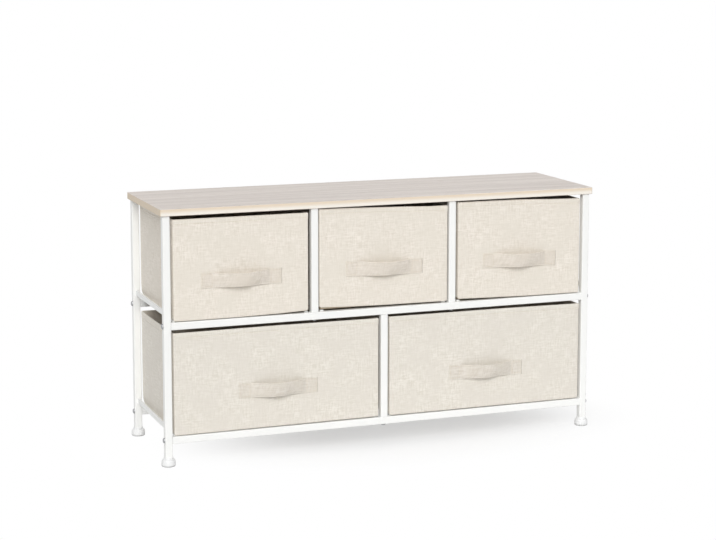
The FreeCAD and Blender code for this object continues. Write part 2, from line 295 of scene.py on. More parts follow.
def woven_cloth(name, pale, dark, shade):
    """A plain weave of pale and dark slubs, with slow patches of a third tone."""
    material, tree = blank_material(name)
    where = add(tree, "ShaderNodeTexCoord").outputs["Object"]
    place = add(tree, "ShaderNodeSeparateXYZ", {"Vector": where}).outputs
    along = add(tree, "ShaderNodeMath", {0: place["X"], 1: place["Y"]}, operation="ADD")
    up = place["Z"]
    cloth = add(tree, "ShaderNodeCombineXYZ", {"X": along, "Y": up})

    slubs = []
    for wide, high in ((SLUB_LENGTH, SLUB_WIDTH), (SLUB_WIDTH, SLUB_LENGTH)):
        stretched = add(
            tree, "ShaderNodeMapping",
            {"Vector": cloth, "Scale": (1 / (wide * MM), 1 / (high * MM), 1.0)},
        )
        run = add(
            tree, "ShaderNodeTexNoise",
            {"Vector": stretched, "Scale": 1.0, "Detail": 2.5, "Roughness": 0.65},
            noise_dimensions="2D",
        )
        slubs.append(run)
    both = add(tree, "ShaderNodeMath", {0: slubs[0], 1: slubs[1]}, operation="ADD")
    patches = add(
        tree, "ShaderNodeTexNoise",
        {"Vector": cloth, "Scale": 1 / (PATCH * MM), "Detail": 4.0, "Roughness": 0.6},
        noise_dimensions="2D",
    )
    slub_share = add(
        tree, "ShaderNodeMapRange",
        {"Value": both, "From Min": 0.75, "From Max": 1.25},
    )
    threads = add(
        tree, "ShaderNodeMix",
        {"Factor": slub_share, 6: colour(dark), 7: colour(pale)},
        data_type="RGBA",
    )
    patch_share = add(
        tree, "ShaderNodeMapRange",
        {"Value": patches, "From Min": 0.35, "From Max": 0.65, "To Max": 0.75},
    )
    tone = add(
        tree, "ShaderNodeMix",
        {"Factor": patch_share, 6: threads, 7: colour(shade)},
        data_type="RGBA",
    )
    rows = []
    for way in (along, up):
        turn = add(
            tree, "ShaderNodeMath",
            {0: way, 1: math.tau / (THREAD * MM)},
            operation="MULTIPLY",
        )
        rows.append(add(tree, "ShaderNodeMath", {0: turn}, operation="SINE"))
    weave = add(tree, "ShaderNodeMath", {0: rows[0], 1: rows[1]}, operation="MULTIPLY")
    raised = add(tree, "ShaderNodeMath", {0: both, 1: 1.2, 2: weave}, operation="MULTIPLY_ADD")
    bump = add(tree, "ShaderNodeBump", {"Height": raised, "Strength": 0.35, "Distance": 0.12 * MM})
    shader = add(
        tree, "ShaderNodeBsdfPrincipled",
        {
            "Base Color": tone,
            "Roughness": 0.9,
            "Sheen Weight": 0.15,
            "Sheen Roughness": 0.5,
            "IOR": 1.45,
            "Normal": bump,
        },
    )
    add(tree, "ShaderNodeOutputMaterial", {"Surface": shader})
    return material


print("threads drawn", THREAD, "mm apart")

# %% [markdown]
# The wide drawers of the lower row get a greyer copy of the cloth: painted shade, which makes the
# lower fronts darker than the upper ones. A pull is the same cloth laid double, in a slightly
# darker tone, and the lower row's pulls get a greyer copy as painted shade too. The lining and the
# sewing thread are a little darker and warmer.

# %% Cloth, with a painted-shade copy for the lower row
LINEN = {                  # pale slubs, dark slubs and the tone of the slow patches
    "top": woven_cloth("linen_look_polyester", "F2EBE1", "E1D9CC", "E6DFD3"),
    # the lower row's cloth: the same linen, greyer as painted shade
    "low": woven_cloth("linen_look_polyester_painted_shade", "EDE8DF", "DCD6CA", "E1DBD1"),
}
STRAP_CLOTH = {
    "top": woven_cloth("linen_look_polyester_doubled", "E9E1D7", "D8CFC2", "E2D9CC"),
    # the lower row's pulls: greyer as painted shade
    "low": woven_cloth("linen_look_polyester_painted_shade_doubled", "E4DED5", "D4CCC0", "DDD6CA"),
}
LINING = woven_cloth("lining_cloth", "E4DCD0", "D2C8B9", "DDD3C4")
THREAD_COTTON = woven_cloth("sewing_thread_ecru", "E6DCCB", "D3C6B1", "DCD0BE")


def cloth_row(drawer):
    """The row of a drawer, which picks its cloth; the lower row's is the painted-shade copy."""
    return drawer.split("_")[0]


for cloth in (*LINEN.values(), *STRAP_CLOTH.values(), LINING, THREAD_COTTON):
    print("made", cloth.name)

# %% [markdown]
# The loose base boards are pressed fibreboard: wood fibre under heat. Its face is brown-grey and
# smooth, with short dark and pale fibres in every direction.

# %% Pressed fibreboard
FIBRE = 4.0             # millimetres, the length of a fibre bundle
FIBRE_CLOUD = 90.0      # the size of its paler and darker places


def fibreboard():
    material, tree = blank_material("pressed_fibreboard")
    place = add(tree, "ShaderNodeTexCoord").outputs["Object"]
    fibres = add(
        tree, "ShaderNodeTexNoise",
        {"Vector": place, "Scale": 1 / (FIBRE * MM), "Detail": 5.0, "Distortion": 1.5},
    )
    cloud = add(
        tree, "ShaderNodeTexNoise",
        {"Vector": place, "Scale": 1 / (FIBRE_CLOUD * MM), "Detail": 2.0},
    )
    ground = add(
        tree, "ShaderNodeMix",
        {"Factor": cloud, 6: colour("B9A78F"), 7: colour("CBBBA4")},
        data_type="RGBA",
    )
    share = add(
        tree, "ShaderNodeMapRange",
        {"Value": fibres, "From Min": 0.5, "From Max": 0.75, "To Max": 0.5},
    )
    tone = add(
        tree, "ShaderNodeMix",
        {"Factor": share, 6: ground, 7: colour("9C876B")},
        data_type="RGBA",
    )
    bump = add(tree, "ShaderNodeBump", {"Height": fibres, "Strength": 0.3, "Distance": 0.08 * MM})
    shader = add(
        tree, "ShaderNodeBsdfPrincipled",
        {"Base Color": tone, "Roughness": 0.7, "Normal": bump, "IOR": 1.5},
    )
    add(tree, "ShaderNodeOutputMaterial", {"Surface": shader})
    return material


FIBREBOARD = fibreboard()
print("made", FIBREBOARD.name)

# %% [markdown]
# Feet and plugs are moulded polypropylene. The mould's fine spark texture, about half a
# millimetre, makes it a soft matt white, a little cooler than the powder coat. The feet are
# painted grey along their lowest few millimetres, a painted shade for the contact shadow where they
# meet the floor.

# %% Moulded plastic
SPARK = 0.6             # millimetres, the size of the mould's spark texture
FLOW = 14.0             # and of the clouds where the plastic flowed
CONTACT_SHADE_TO = 1.5        # the height above the floor up to which a foot is wholly painted with contact shade
UNSHADED_FROM = 5.0        # and from which it has no painted shade


def moulded_plastic(name, pale, dark, roughness, contact_shade=None):
    """A matt plastic; the last argument, if given, is the tone of painted shade on its lowest few
    millimetres, where it meets the floor.
    """
    material, tree = blank_material(name)
    place = add(tree, "ShaderNodeTexCoord").outputs["Object"]
    spark = add(
        tree, "ShaderNodeTexNoise",
        {"Vector": place, "Scale": 1 / (SPARK * MM), "Detail": 2.0},
    )
    flow = add(
        tree, "ShaderNodeTexNoise",
        {"Vector": place, "Scale": 1 / (FLOW * MM), "Detail": 2.0},
    )
    tone = add(
        tree, "ShaderNodeMix",
        {"Factor": flow, 6: colour(dark), 7: colour(pale)},
        data_type="RGBA",
    )
    # painted shade: the tone darkens towards the floor over the lowest millimetres, for the feet's
    # contact shadow
    if contact_shade:
        height = add(tree, "ShaderNodeSeparateXYZ", {"Vector": place}).outputs["Z"]
        unshaded_share = add(
            tree, "ShaderNodeMapRange",
            {"Value": height, "From Min": CONTACT_SHADE_TO * MM, "From Max": UNSHADED_FROM * MM},
        )
        tone = add(
            tree, "ShaderNodeMix",
            {"Factor": unshaded_share, 6: colour(contact_shade), 7: tone},
            data_type="RGBA",
        )
    bump = add(tree, "ShaderNodeBump", {"Height": spark, "Strength": 0.2, "Distance": 0.04 * MM})
    shader = add(
        tree, "ShaderNodeBsdfPrincipled",
        {"Base Color": tone, "Roughness": roughness, "Normal": bump, "IOR": 1.49},
    )
    add(tree, "ShaderNodeOutputMaterial", {"Surface": shader})
    return material


# the feet get BABAB9 as painted shade along their lowest millimetres
FOOT_PLASTIC = moulded_plastic("polypropylene_white", "F3F3F3", "EBECEC", 0.45, contact_shade="BABAB9")
PLUG_PLASTIC = moulded_plastic("polypropylene_grey", "C9CBCC", "B7B9BB", 0.5)
print("made", FOOT_PLASTIC.name, PLUG_PLASTIC.name)

# %% [markdown]
# Bolts and screws are steel with a zinc plating. Plating copies the drawn wire's fine lines, so
# the reflection is a little streaked. It is a real metal, so metallic is 1 and the index of
# refraction stays at its default.

# %% Zinc-plated steel
WIRE_LINES = 0.8        # millimetres, the size of the streaks


def zinc_plate():
    material, tree = blank_material("zinc_plated_steel")
    place = add(tree, "ShaderNodeTexCoord").outputs["Object"]
    streak = add(
        tree, "ShaderNodeTexNoise",
        {"Vector": place, "Scale": 1 / (WIRE_LINES * MM), "Detail": 4.0},
    )
    tone = add(
        tree, "ShaderNodeMix",
        {"Factor": streak, 6: colour("8F9092"), 7: colour("BDBDBF")},
        data_type="RGBA",
    )
    gloss = add(tree, "ShaderNodeMapRange", {"Value": streak, "To Min": 0.3, "To Max": 0.5})
    shader = add(
        tree, "ShaderNodeBsdfPrincipled",
        {"Base Color": tone, "Metallic": 1.0, "Roughness": gloss},
    )
    add(tree, "ShaderNodeOutputMaterial", {"Surface": shader})
    return material


ZINC = zinc_plate()
print("made", ZINC.name)

# %% [markdown]
# Each frame piece has one finish, and its name says what it is. So the finish is found from the
# first words of the name, and one loop dresses the frame.

# %% Dress the frame's own pieces
FINISHES = {
    "top_board": OAK_PRINT,
    "post_": POWDER_COAT,
    "rail_": POWDER_COAT,
    "divider_pegs": PLUG_PLASTIC,
    "divider_": POWDER_COAT,
    "guide_bar_": POWDER_COAT,
    "top_bar_": POWDER_COAT,
    "runners_": POWDER_COAT,
    "foot_": FOOT_PLASTIC,
    "threaded_inserts": PLUG_PLASTIC,
    "frame_bolts": ZINC,
    "board_screws": ZINC,
}


def finish_for(piece):
    """The finish whose name starts the piece's name, and otherwise the drawer parts' own."""
    for start, finish in FINISHES.items():
        if piece.startswith(start):
            return finish
    return FIBREBOARD if piece.endswith("_board") else LINEN["top"]


for piece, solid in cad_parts.items():
    solid.data.materials.clear()
    solid.data.materials.append(finish_for(piece))
print("dressed", len(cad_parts), "pieces")

# %% [markdown]
# New pieces are built from loops: rings of points with the same count, one beyond the other. Faces
# join each ring to the next, and a flat face closes each end. A last helper turns points in
# millimetres and faces into an object, and says which body it moves with.

# %% From loops to a piece


def closed_form(loops):
    """Points and faces of a closed form: its loops joined one to the next, and both ends capped."""
    count = len(loops[0])
    last = (len(loops) - 1) * count
    faces = []
    for low in range(0, last, count):
        high = low + count
        for n in range(count):
            after = (n + 1) % count
            faces.append((low + n, low + after, high + after, high + n))
    faces += [tuple(range(count))[::-1], tuple(range(last, last + count))]
    return [point for loop in loops for point in loop], faces


def joined(forms):
    """Many forms as the points and faces of one piece."""
    points, faces = [], []
    for more, their_faces in forms:
        faces += [tuple(n + len(points) for n in face) for face in their_faces]
        points += more
    return points, faces


def make_piece(name, points, faces, finishes, body, slot, finish_of_face=None):
    """Makes a smooth-shaded piece from points in millimetres."""
    mesh = bpy.data.meshes.new(name)
    mesh.from_pydata([Vector(p) * MM for p in points], [], faces)
    for finish in finishes:
        mesh.materials.append(finish)
    mesh.polygons.foreach_set("use_smooth", [True] * len(faces))
    if finish_of_face:
        mesh.polygons.foreach_set("material_index", finish_of_face)
    mesh.validate()
    piece = bpy.data.objects.new(name, mesh)
    bpy.context.collection.objects.link(piece)
    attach(piece, body)
    return piece


# %% [markdown]
# A drawer is a sewn bin. Its front holds a stiff board, so it is flat with soft round edges, and
# its sides and rear are cloth over thin card, so they bow and ripple a little. Seen from above,
# the bin is a rectangle with round corners. The steps below go round it once, and the same steps
# serve every height, outside and inside.

# %% Round a bin
WALLS = ("front", "right", "rear", "left")
ACROSS, ALONG, TURN = 36, 28, 5      # steps along a front, along a side, and round a corner


def steps_round():
    """Each step's wall, its place along it from 0 to 1, and whether it is in the next corner."""
    steps = []
    for wall, count in zip(WALLS, (ACROSS, ALONG, ACROSS, ALONG)):
        steps += [(wall, n / count, False) for n in range(count + 1)]
        steps += [(wall, n / TURN, True) for n in range(1, TURN)]
    return steps


def place_on(step, rect, radii):
    """A step's place on a rectangle (left, right, front, rear), and which way is outward there.

    radii are those of the front corners and of the rear ones.
    """
    wall, t, in_corner = step
    left, right, front, rear = rect
    at_front, at_rear = radii
    centres = [
        (left + at_front, front + at_front, at_front),
        (right - at_front, front + at_front, at_front),
        (right - at_rear, rear - at_rear, at_rear),
        (left + at_rear, rear - at_rear, at_rear),
    ]
    quarter = WALLS.index(wall)
    start, end = centres[quarter], centres[(quarter + 1) % 4]
    angle = math.radians(90 * (quarter - 1) + (90 * t if in_corner else 0))
    out = Vector((math.cos(angle), math.sin(angle)))
    begins, ends = (Vector(corner[:2]) + out * corner[2] for corner in (start, end))
    return ends if in_corner else begins.lerp(ends, t), out


STEPS = steps_round()
print("steps round a bin:", len(STEPS))

# %% [markdown]
# Drawers never sit quite straight. A front hangs a few millimetres higher at one end, where the
# cloth was pulled over its board. Each drawer has its own lifts along the top and bottom edges,
# as pairs of the place along the front and the lift in millimetres.

# %% How each drawer sits
LIFTS = {
    "top_left": {
        "top": [(0, -1.5), (1, -1.6)],
        "bottom": [(0, 0.6), (0.15, 0), (0.5, 0.2), (0.8, 1.6), (1, 4.0)],
    },
    "top_middle": {
        "top": [(0, 4.6), (0.2, 3.9), (0.66, 0.2), (0.85, -1.9), (1, -2.4)],
        "bottom": [(0, 7.8), (0.2, 5.6), (0.5, 3.6), (1, 2.4)],
    },
    "top_right": {
        "top": [(0, 3.4), (0.5, 2.4), (0.75, -0.4), (1, -2.4)],
        "bottom": [(0, 5.0), (0.12, 3.8), (0.6, 0.8), (1, 0.3)],
    },
    "low_left": {"top": [(0, 0), (0.5, 1.0), (1, 0)], "bottom": [(0, 0), (0.3, 0.5), (1, 1.2)]},
    "low_right": {"top": [(0, 1.4), (0.6, 1.0), (1, -0.6)], "bottom": [(0, 0.8), (1, 0.6)]},
}
LIFT_FADES_IN = 110.0      # millimetres behind the front


def between(pairs, t):
    """A value read off a line through pairs of place and value."""
    for (t0, v0), (t1, v1) in zip(pairs, pairs[1:]):
        if t <= t1:
            return v0 + (v1 - v0) * ((t - t0) / (t1 - t0))
    return pairs[-1][1]


def lift_at(drawer, t, up):
    """How far a drawer's front is lifted, at t along it and at a share of its height."""
    low = between(LIFTS[drawer]["bottom"], t)
    return low + (between(LIFTS[drawer]["top"], t) - low) * up


print("top left corners lifted, in mm:", {drawer: lift_at(drawer, 0, 1) for drawer in LIFTS})

# %% [markdown]
# The cloth's slack is a sum of a slow bow and smaller ripples that run mostly upright, as cloth
# under its own weight does. The ripples come from a noise function of the place, so they are the
# same on every run. The front is tight over its board and hardly moves. The two left drawers are
# packed full, so their cloth also spreads towards the rear left post.

# %% Slack
BOWS = {                   # outward at the middle, in millimetres: front, right, rear, left
    "top_left": (0.3, 1.2, 0.3, 0.4),
    "top_middle": (0.2, 1.6, -1.0, 1.4),
    "top_right": (0.3, 2.0, 1.2, -1.2),
    "low_left": (0.4, 1.0, 0.3, 0.4),
    "low_right": (0.3, 2.6, 1.4, 1.2),
}
SPREADS = {"top_left": (5.0, 6.8), "low_left": (3.7, 6.8)}    # to the left and rearward
WIDE_FROM, DEEP_FROM = 0.25, 0.5       # the shares of the depth where a bin starts to spread
SPREAD_UP = 0.12           # and the share of its height, from the floor, that the spread grows over
RIPPLE = {"front": 0.2, "right": 0.9, "rear": 0.8, "left": 0.6}      # its height in millimetres
RIPPLES, FINE_RIPPLES = (5.5, 1.3), (15, 4.0)      # how many there are along a wall and up it
FINE_SHARE = 0.35          # the fine ripples' height, as a share of the others'
BOW_AT_EDGES = 0.45        # the share of the bow that is left at the lower edge and the rim


def smooth(share):
    """A share from 0 to 1, eased at both ends."""
    share = min(1.0, max(0.0, share))
    return share * share * (3 - 2 * share)


def slack(drawer, wall, t, up):
    """How far the cloth stands outward there, in millimetres."""
    if not 0 < t < 1:
        return 0.0
    seed = 7.3 * list(LIFTS).index(drawer) + 2.1 * WALLS.index(wall)
    ripple = noise.noise(Vector((t * RIPPLES[0], up * RIPPLES[1], seed)))
    fine = noise.noise(Vector((t * FINE_RIPPLES[0], up * FINE_RIPPLES[1], seed + 40)))
    behind = 1 - t if wall == "left" else t
    half_way_up = math.sin(math.pi * min(1, max(0, up)))
    upright = BOW_AT_EDGES + (1 - BOW_AT_EDGES) * half_way_up
    swell = math.sin(math.pi * behind ** 1.5) * upright
    hold = math.sin(math.pi * t) ** 0.7
    bow = BOWS[drawer][WALLS.index(wall)]
    return swell * bow + hold * RIPPLE[wall] * (ripple + FINE_SHARE * fine)


for wall in WALLS:
    print("slack half way along the", wall, round(slack("top_middle", wall, 0.5, 0.5), 2), "mm")

# %% [markdown]
# Up the wall, each row has a height and stands out or in from the cloth's own face. Side walls
# end in a folded band with a stitched groove. On the front the cloth is folded over the board,
# and one row of stitches under the fold draws it in.

# %% Rows up a wall
GROOVE = (10.5, 0.1, -0.5)             # the stitched groove, written as the rows below are
BAND_ROWS = [              # below the rim; outward on the sides and rear; outward on the front
    (16.0, 0.0, 0.0),
    (14.3, 0.0, 0.0),
    (14.0, 0.45, 0.0),
    (12.0, 0.6, 0.05),
    (11.1, 0.5, -0.1),
    GROOVE,
    (9.9, 0.5, -0.1),
    (9.0, 0.6, 0.1),
    (5.0, 0.6, 0.15),
    (2.2, 0.45, -0.1),
    (0.8, 0.0, -0.7),
    (0.2, -0.6, -1.6),
]
EDGE_ROWS = [              # over the lower edge; outward as in the band
    (0.0, -0.8, -1.0),
    (0.5, -0.25, -0.35),
    (1.5, 0.0, 0.0),
    (5.0, 0.0, 0.0),
]
PLAIN_STEPS = 13           # between the lower edge's rows and the band's
RIM = (-1.1, -2.3)         # the middle of the fold: outward on the sides and rear, and on the front
INSIDE_ROWS = [            # written as the band's rows
    (0.2, -0.6, -1.6),
    (0.8, 0.0, -0.7),
    (2.2, 0.3, 0.0),
    (14.0, 0.3, 0.0),
    (15.0, 0.0, 0.0),
]
INSIDE_SHARES = (0.8, 0.65, 0.5, 0.35, 0.2, 0.08)      # plain rows inside, as shares of the height


def wall_rows(height):
    """Height and outward offsets of each outside row, from the lower edge to the rim."""
    edge, band = EDGE_ROWS[-1][0], BAND_ROWS[0][0]
    plain = [
        (edge + (height - edge - band) * n / PLAIN_STEPS, 0.0, 0.0) for n in range(1, PLAIN_STEPS)
    ]
    return EDGE_ROWS + plain + [(height - below, *outward) for below, *outward in BAND_ROWS]


print("rows up a wall:", len(wall_rows(200)))

# %% [markdown]
# A point of the cloth starts on the bin's rectangle. Then it moves outward by its row and the
# slack, sideways and rearward where the bin spreads, and up or down with the lift of the front,
# the sag of the rim and the drop of the hem.

# %% A point of the cloth
FRONT_THICK, WALL_THICK, FLOOR_THICK = 5.0, 2.5, 1.5
OUTSIDE_ROUND = (3.0, 3.5)         # the radii of the front and rear corners
INSIDE_ROUND = (1.5, 1.0)
FLAT_ROUND = (1.0, 6.0)            # and those of the two flat faces
FLAT_BEHIND = 40.0                 # how far behind the front the flat faces start
HEM_DROP = 1.8             # how far the front's lower hem hangs below the floor
HEM_DROP_OVER = 8.0        # the height over which it does
RIM_SAG = 1.6              # how far a side's rim hangs at its middle


def drawer_box(drawer):
    """The bin's rectangle and heights, from its solid: left, right, front, rear; floor, height."""
    low, high = box_mm("drawer_" + drawer + "_bin")
    floor = low[2] + HEM_DROP
    return (low[0], high[0], low[1], high[1]), floor, high[2] - floor


BINS = {drawer: drawer_box(drawer) for drawer in LIFTS}


def front_share(step):
    """1 on the front, 0 on the other walls, and smooth round the front corners."""
    wall, t, in_corner = step
    if wall == "front":
        return 1 - t if in_corner else 1.0
    return t if wall == "left" and in_corner else 0.0


def flat_loop(drawer, h, inset):
    """A level loop inside the walls, at height h over the drawer's floor."""
    (left, right, front, rear), floor, _ = BINS[drawer]
    rect = (left + inset, right - inset, front + FLAT_BEHIND, rear - inset)
    return [(*place_on(step, rect, FLAT_ROUND)[0], floor + h) for step in STEPS]


def skin_point(drawer, step, h, side_out, front_out, inside=False):
    """A point of the bin's cloth: on a step round it, at height h over its floor."""
    rect, floor, height = BINS[drawer]
    wall, t, in_corner = step
    share = front_share(step)
    out_by = front_out * share + side_out * (1 - share)
    radii = OUTSIDE_ROUND
    if inside:
        left, right, front, rear = rect
        rect = (left + WALL_THICK, right - WALL_THICK, front + FRONT_THICK, rear - WALL_THICK)
        radii = INSIDE_ROUND
        out_by = -out_by
    (x, y), out = place_on(step, rect, radii)
    up = h / height
    if not in_corner:
        out_by += slack(drawer, wall, t, up)
    along = (x - rect[0]) / (rect[1] - rect[0])
    depth = (y - rect[2]) / (rect[3] - rect[2])
    fade = 1 - smooth((y - rect[2]) / LIFT_FADES_IN)
    lift = lift_at(drawer, min(1.0, max(0.0, along)), up) * fade
    wide, deep = SPREADS.get(drawer, (0.0, 0.0))
    grown = smooth(up / SPREAD_UP)
    x -= wide * (1 - along) * smooth((depth - WIDE_FROM) / (1 - WIDE_FROM)) * grown
    y += deep * smooth((depth - DEEP_FROM) / (1 - DEEP_FROM)) * grown
    sag = 0.0
    if not in_corner and wall != "front":
        sag = -RIM_SAG * math.sin(math.pi * t) * up ** 3
    drop = -HEM_DROP * share * (1 - min(1.0, h / HEM_DROP_OVER)) if not inside else 0.0
    return Vector((x + out.x * out_by, y + out.y * out_by, floor + h + lift + sag + drop))


corner = skin_point("top_left", STEPS[0], 0.0, 0.0, 0.0)
print("lower front left corner of a drawer:", [round(c, 1) for c in corner], "mm")

# %% [markdown]
# Now the bin itself: the outside rows from the lower hem to the rim, over the rim, and down the
# inside to the floor. Two flat faces close it, one under the floor and one on it.

# %% A sewn bin
UNDER_INSET, FLOOR_INSET = 6.0, 8.0    # how far inside the walls the two flat faces start


def sewn_bin(drawer):
    height = BINS[drawer][2]

    def loop_at(*row):
        return [skin_point(drawer, step, *row) for step in STEPS]

    outside = [loop_at(*row) for row in wall_rows(height)]
    folds = zip(loop_at(height, *RIM), loop_at(height, *RIM, True))
    rim = [[(outer + inner) / 2 for outer, inner in folds]]
    under = [flat_loop(drawer, 0.0, UNDER_INSET), loop_at(0.0, 0.0, 0.0, True)]
    rows = [(height - below, *outward) for below, *outward in INSIDE_ROWS]
    rows += [(height * share, 0.0, 0.0) for share in INSIDE_SHARES] + [(FLOOR_THICK, 0.0, 0.0)]
    inside = [loop_at(*row, True) for row in rows] + [flat_loop(drawer, FLOOR_THICK, FLOOR_INSET)]
    points, faces = closed_form(under + outside + rim + inside)
    lining_from = len(under + outside + rim) * len(STEPS)
    piece = make_piece(
        "drawer_" + drawer + "_sewn_bin", points, faces, [LINEN[cloth_row(drawer)], LINING],
        "drawer_" + drawer, "drawer_fabric", [int(min(face) >= lining_from) for face in faces],
    )
    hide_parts("drawer_" + drawer + "_bin")
    return piece


for drawer in LIFTS:
    print("sewn", sewn_bin(drawer).name)

# %% [markdown]
# The stiff board in a front's pocket isn't seen, but it is there, and it leans as its front does.

# %% Boards in the fronts
BOARD_STEPS = 24
BOARD_PLAY = 0.4           # millimetres between the board and the cloth in front and behind
BOARD_RISE = 0.8           # how far its lower edge stands over the pocket's seam


def pocket_board(drawer):
    low, high = box_mm("drawer_" + drawer + "_front_board")
    rect, floor, height = BINS[drawer]
    front, rear = low[1] + BOARD_PLAY, high[1] - BOARD_PLAY
    loops = []
    for n in range(BOARD_STEPS + 1):
        x = low[0] + (high[0] - low[0]) * n / BOARD_STEPS
        t = (x - rect[0]) / (rect[1] - rect[0])
        lower, upper = (z + lift_at(drawer, t, (z - floor) / height) for z in (low[2], high[2]))
        lower += BOARD_RISE
        loops.append([(x, front, lower), (x, front, upper), (x, rear, upper), (x, rear, lower)])
    points, faces = closed_form(loops)
    piece = make_piece(
        "drawer_" + drawer + "_pocket_board", points, faces,
        [FIBREBOARD], "drawer_" + drawer, "stiffening_board",
    )
    piece.data.polygons.foreach_set("use_smooth", [False] * len(faces))
    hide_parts("drawer_" + drawer + "_front_board")
    return piece


for drawer in LIFTS:
    print("made", pocket_board(drawer).name)

# %% [markdown]
# A pull is a strap of the same cloth, folded double and sewn flat at both ends. Between them it
# stands forward enough for four fingers. It creases at the seams and bows between them, and after
# some use its crown hangs a little and its lower edge falls back towards the front.

# %% The form of a strap
TAB = 28.0                 # at each end, the part that lies against the front
STRAP_RISE = 14.0          # how far the crown's back stands forward
STRAP_SAG = 0.6            # how far the crown hangs
STRAP_FALL = 3.0           # how much further back than its middle the crown's lower edge stands
STRAP_TUCK = 0.9           # the share of its stand that the lower edge loses where it is tucked in
WORN = 0.7                 # the share of that tuck right of the middle, where hands press it most
WORN_FROM, WORN_OVER = -0.05, 0.45     # where that begins and how soon it is full, in half lengths
STRAP_NARROWS = 0.1        # the share of its height that the crown loses
CROWN = 0.2                # the share of the half run where the strap is nearly flat
CREASE = 0.12              # and where it turns out of its tab
BOW_POWER = 1.35           # 1 would make the bow straight, and 2 a parabola
STARTS_AT = 0.35           # where on its ease the turn out of the tab starts
STRAP_RIPPLE = 0.35        # the height of the strap's own ripples
EDGE_SEAM = 3.8            # the groove for stitches along each folded edge
STRAP_EDGE = [             # up from the folded edge, and out from the strap's back
    (0.25, 0.4), (0.0, 1.0), (0.25, 1.7), (1.2, 2.05), (3.2, 2.1), (EDGE_SEAM, 1.75), (4.4, 2.05),
]


def strap_line(box, t):
    """The strap's middle line in plan: its x, and how far it stands forward."""
    half = (box[1][0] - box[0][0]) / 2
    run = half - TAB
    x = (2 * t - 1) * half
    out = abs(x) / run
    if out >= 1:
        return x, 0.0
    bow = 1 - max(0.0, (out - CROWN) / (1 - CROWN)) ** BOW_POWER
    return x, STRAP_RISE * bow * smooth(STARTS_AT + (1 - STARTS_AT) * (1 - out) / CREASE)


def strap_outline(height):
    """The strap's section: height from its middle and distance out, round a folded edge."""
    half = height / 2
    rows = [(up - half, out) for up, out in STRAP_EDGE] + [(-half / 2, 2.0), (0, 1.95)]
    front = rows + [(-h, out) for h, out in rows[-2::-1]]
    return front + [(h, 0.0) for h in (half - 1.2, half / 2, 0, -half / 2, 1.2 - half)]


def strap_point(drawer, box, t, h, out):
    """A point of the strap, at t along it, at height h from its middle, and out from its back."""
    rect, floor, height = BINS[drawer]
    x, forward = strap_line(box, t)
    ahead = strap_line(box, min(1, t + 0.01))
    before = strap_line(box, max(0, t - 0.01))
    side = Vector((ahead[0] - before[0], -(ahead[1] - before[1]))).normalized()
    away = Vector((side.y, -side.x))
    centre_x = (box[0][0] + box[1][0]) / 2
    share = forward / STRAP_RISE
    h *= 1 - STRAP_NARROWS * share
    z = (box[0][2] + box[1][2]) / 2 + h - STRAP_SAG * share
    from_middle = h / ((box[1][2] - box[0][2]) / 2)
    tucked = max(1 - share, WORN * smooth((2 * t - 1 - WORN_FROM) / WORN_OVER))
    forward *= 1 - STRAP_TUCK * tucked * max(0.0, -from_middle)
    fall = -STRAP_FALL * share * from_middle
    fall += STRAP_RIPPLE * noise.noise(Vector((t * 6, h * 0.05, rect[0]))) * share
    along = (centre_x + x - rect[0]) / (rect[1] - rect[0])
    z += lift_at(drawer, along, (z - floor) / height)
    y = box[1][1] - forward + fall
    return Vector((centre_x + x + away.x * out, y + away.y * out, z))


print("points round a strap's section:", len(strap_outline(25.0)))

# %% [markdown]
# A strap is thin at its cut end, pressed flat in its tab by the stitches, and full beyond it.
# With that the pull is its section, repeated from end to end.

# %% Strap pulls
STRAP_STEPS = 56
STRAP_LENGTH = 179.0       # millimetres from end to end
END_THIN = 0.15            # the share of its thickness that the cut end keeps
TAB_GAIN, FULL_GAIN = 0.27, 0.58       # what the tab has more than that, and the strap beyond it


def tab_squeeze(t):
    """The share of its thickness that a strap keeps, at t along it."""
    from_end = min(t, 1 - t) * STRAP_LENGTH
    in_tab, beyond = smooth(from_end / 3.0), smooth((from_end - 18.0) / 22.0)
    return END_THIN + TAB_GAIN * in_tab + FULL_GAIN * beyond


def strap_pull(drawer):
    box = box_mm("drawer_" + drawer + "_pull")
    outline = strap_outline(box[1][2] - box[0][2])
    loops = []
    for n in range(STRAP_STEPS + 1):
        t = n / STRAP_STEPS
        squeeze = tab_squeeze(t)
        loops.append([strap_point(drawer, box, t, h, out * squeeze) for h, out in outline])
    piece = make_piece(
        "drawer_" + drawer + "_strap_pull", *closed_form(loops), [STRAP_CLOTH[cloth_row(drawer)]],
        "drawer_" + drawer, "strap_fabric",
    )
    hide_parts("drawer_" + drawer + "_pull")
    return piece


for drawer in LIFTS:
    print("made", strap_pull(drawer).name)

# %% [markdown]
# Stitches are small rolls of thread, 3 mm long with 1.2 mm between them, that sink into the cloth
# at both ends. So each one is a tapered roll between two points of a seam.

# %% Stitches
STITCH, STITCH_GAP, THREAD_R = 3.0, 1.2, 0.38
STITCH_SIDES = 6
STITCH_TAPER = [(0.0, 0.35), (0.25, 1.0), (0.75, 1.0), (1.0, 0.35)]    # shares of length, radius


def stitch(start, end, out):
    """Points and faces of one stitch; out is the way that the cloth faces."""
    across = (end - start).normalized().cross(out).normalized()
    loops = []
    for share, radius in STITCH_TAPER:
        centre = start.lerp(end, share) + out * THREAD_R * (0.9 * radius - 0.6)
        loop = []
        for n in range(STITCH_SIDES):
            turn = math.tau / STITCH_SIDES * n
            spoke = (across * math.cos(turn) + out * math.sin(turn)) * THREAD_R * radius
            loop.append(centre + spoke)
        loops.append(loop)
    return closed_form(loops)


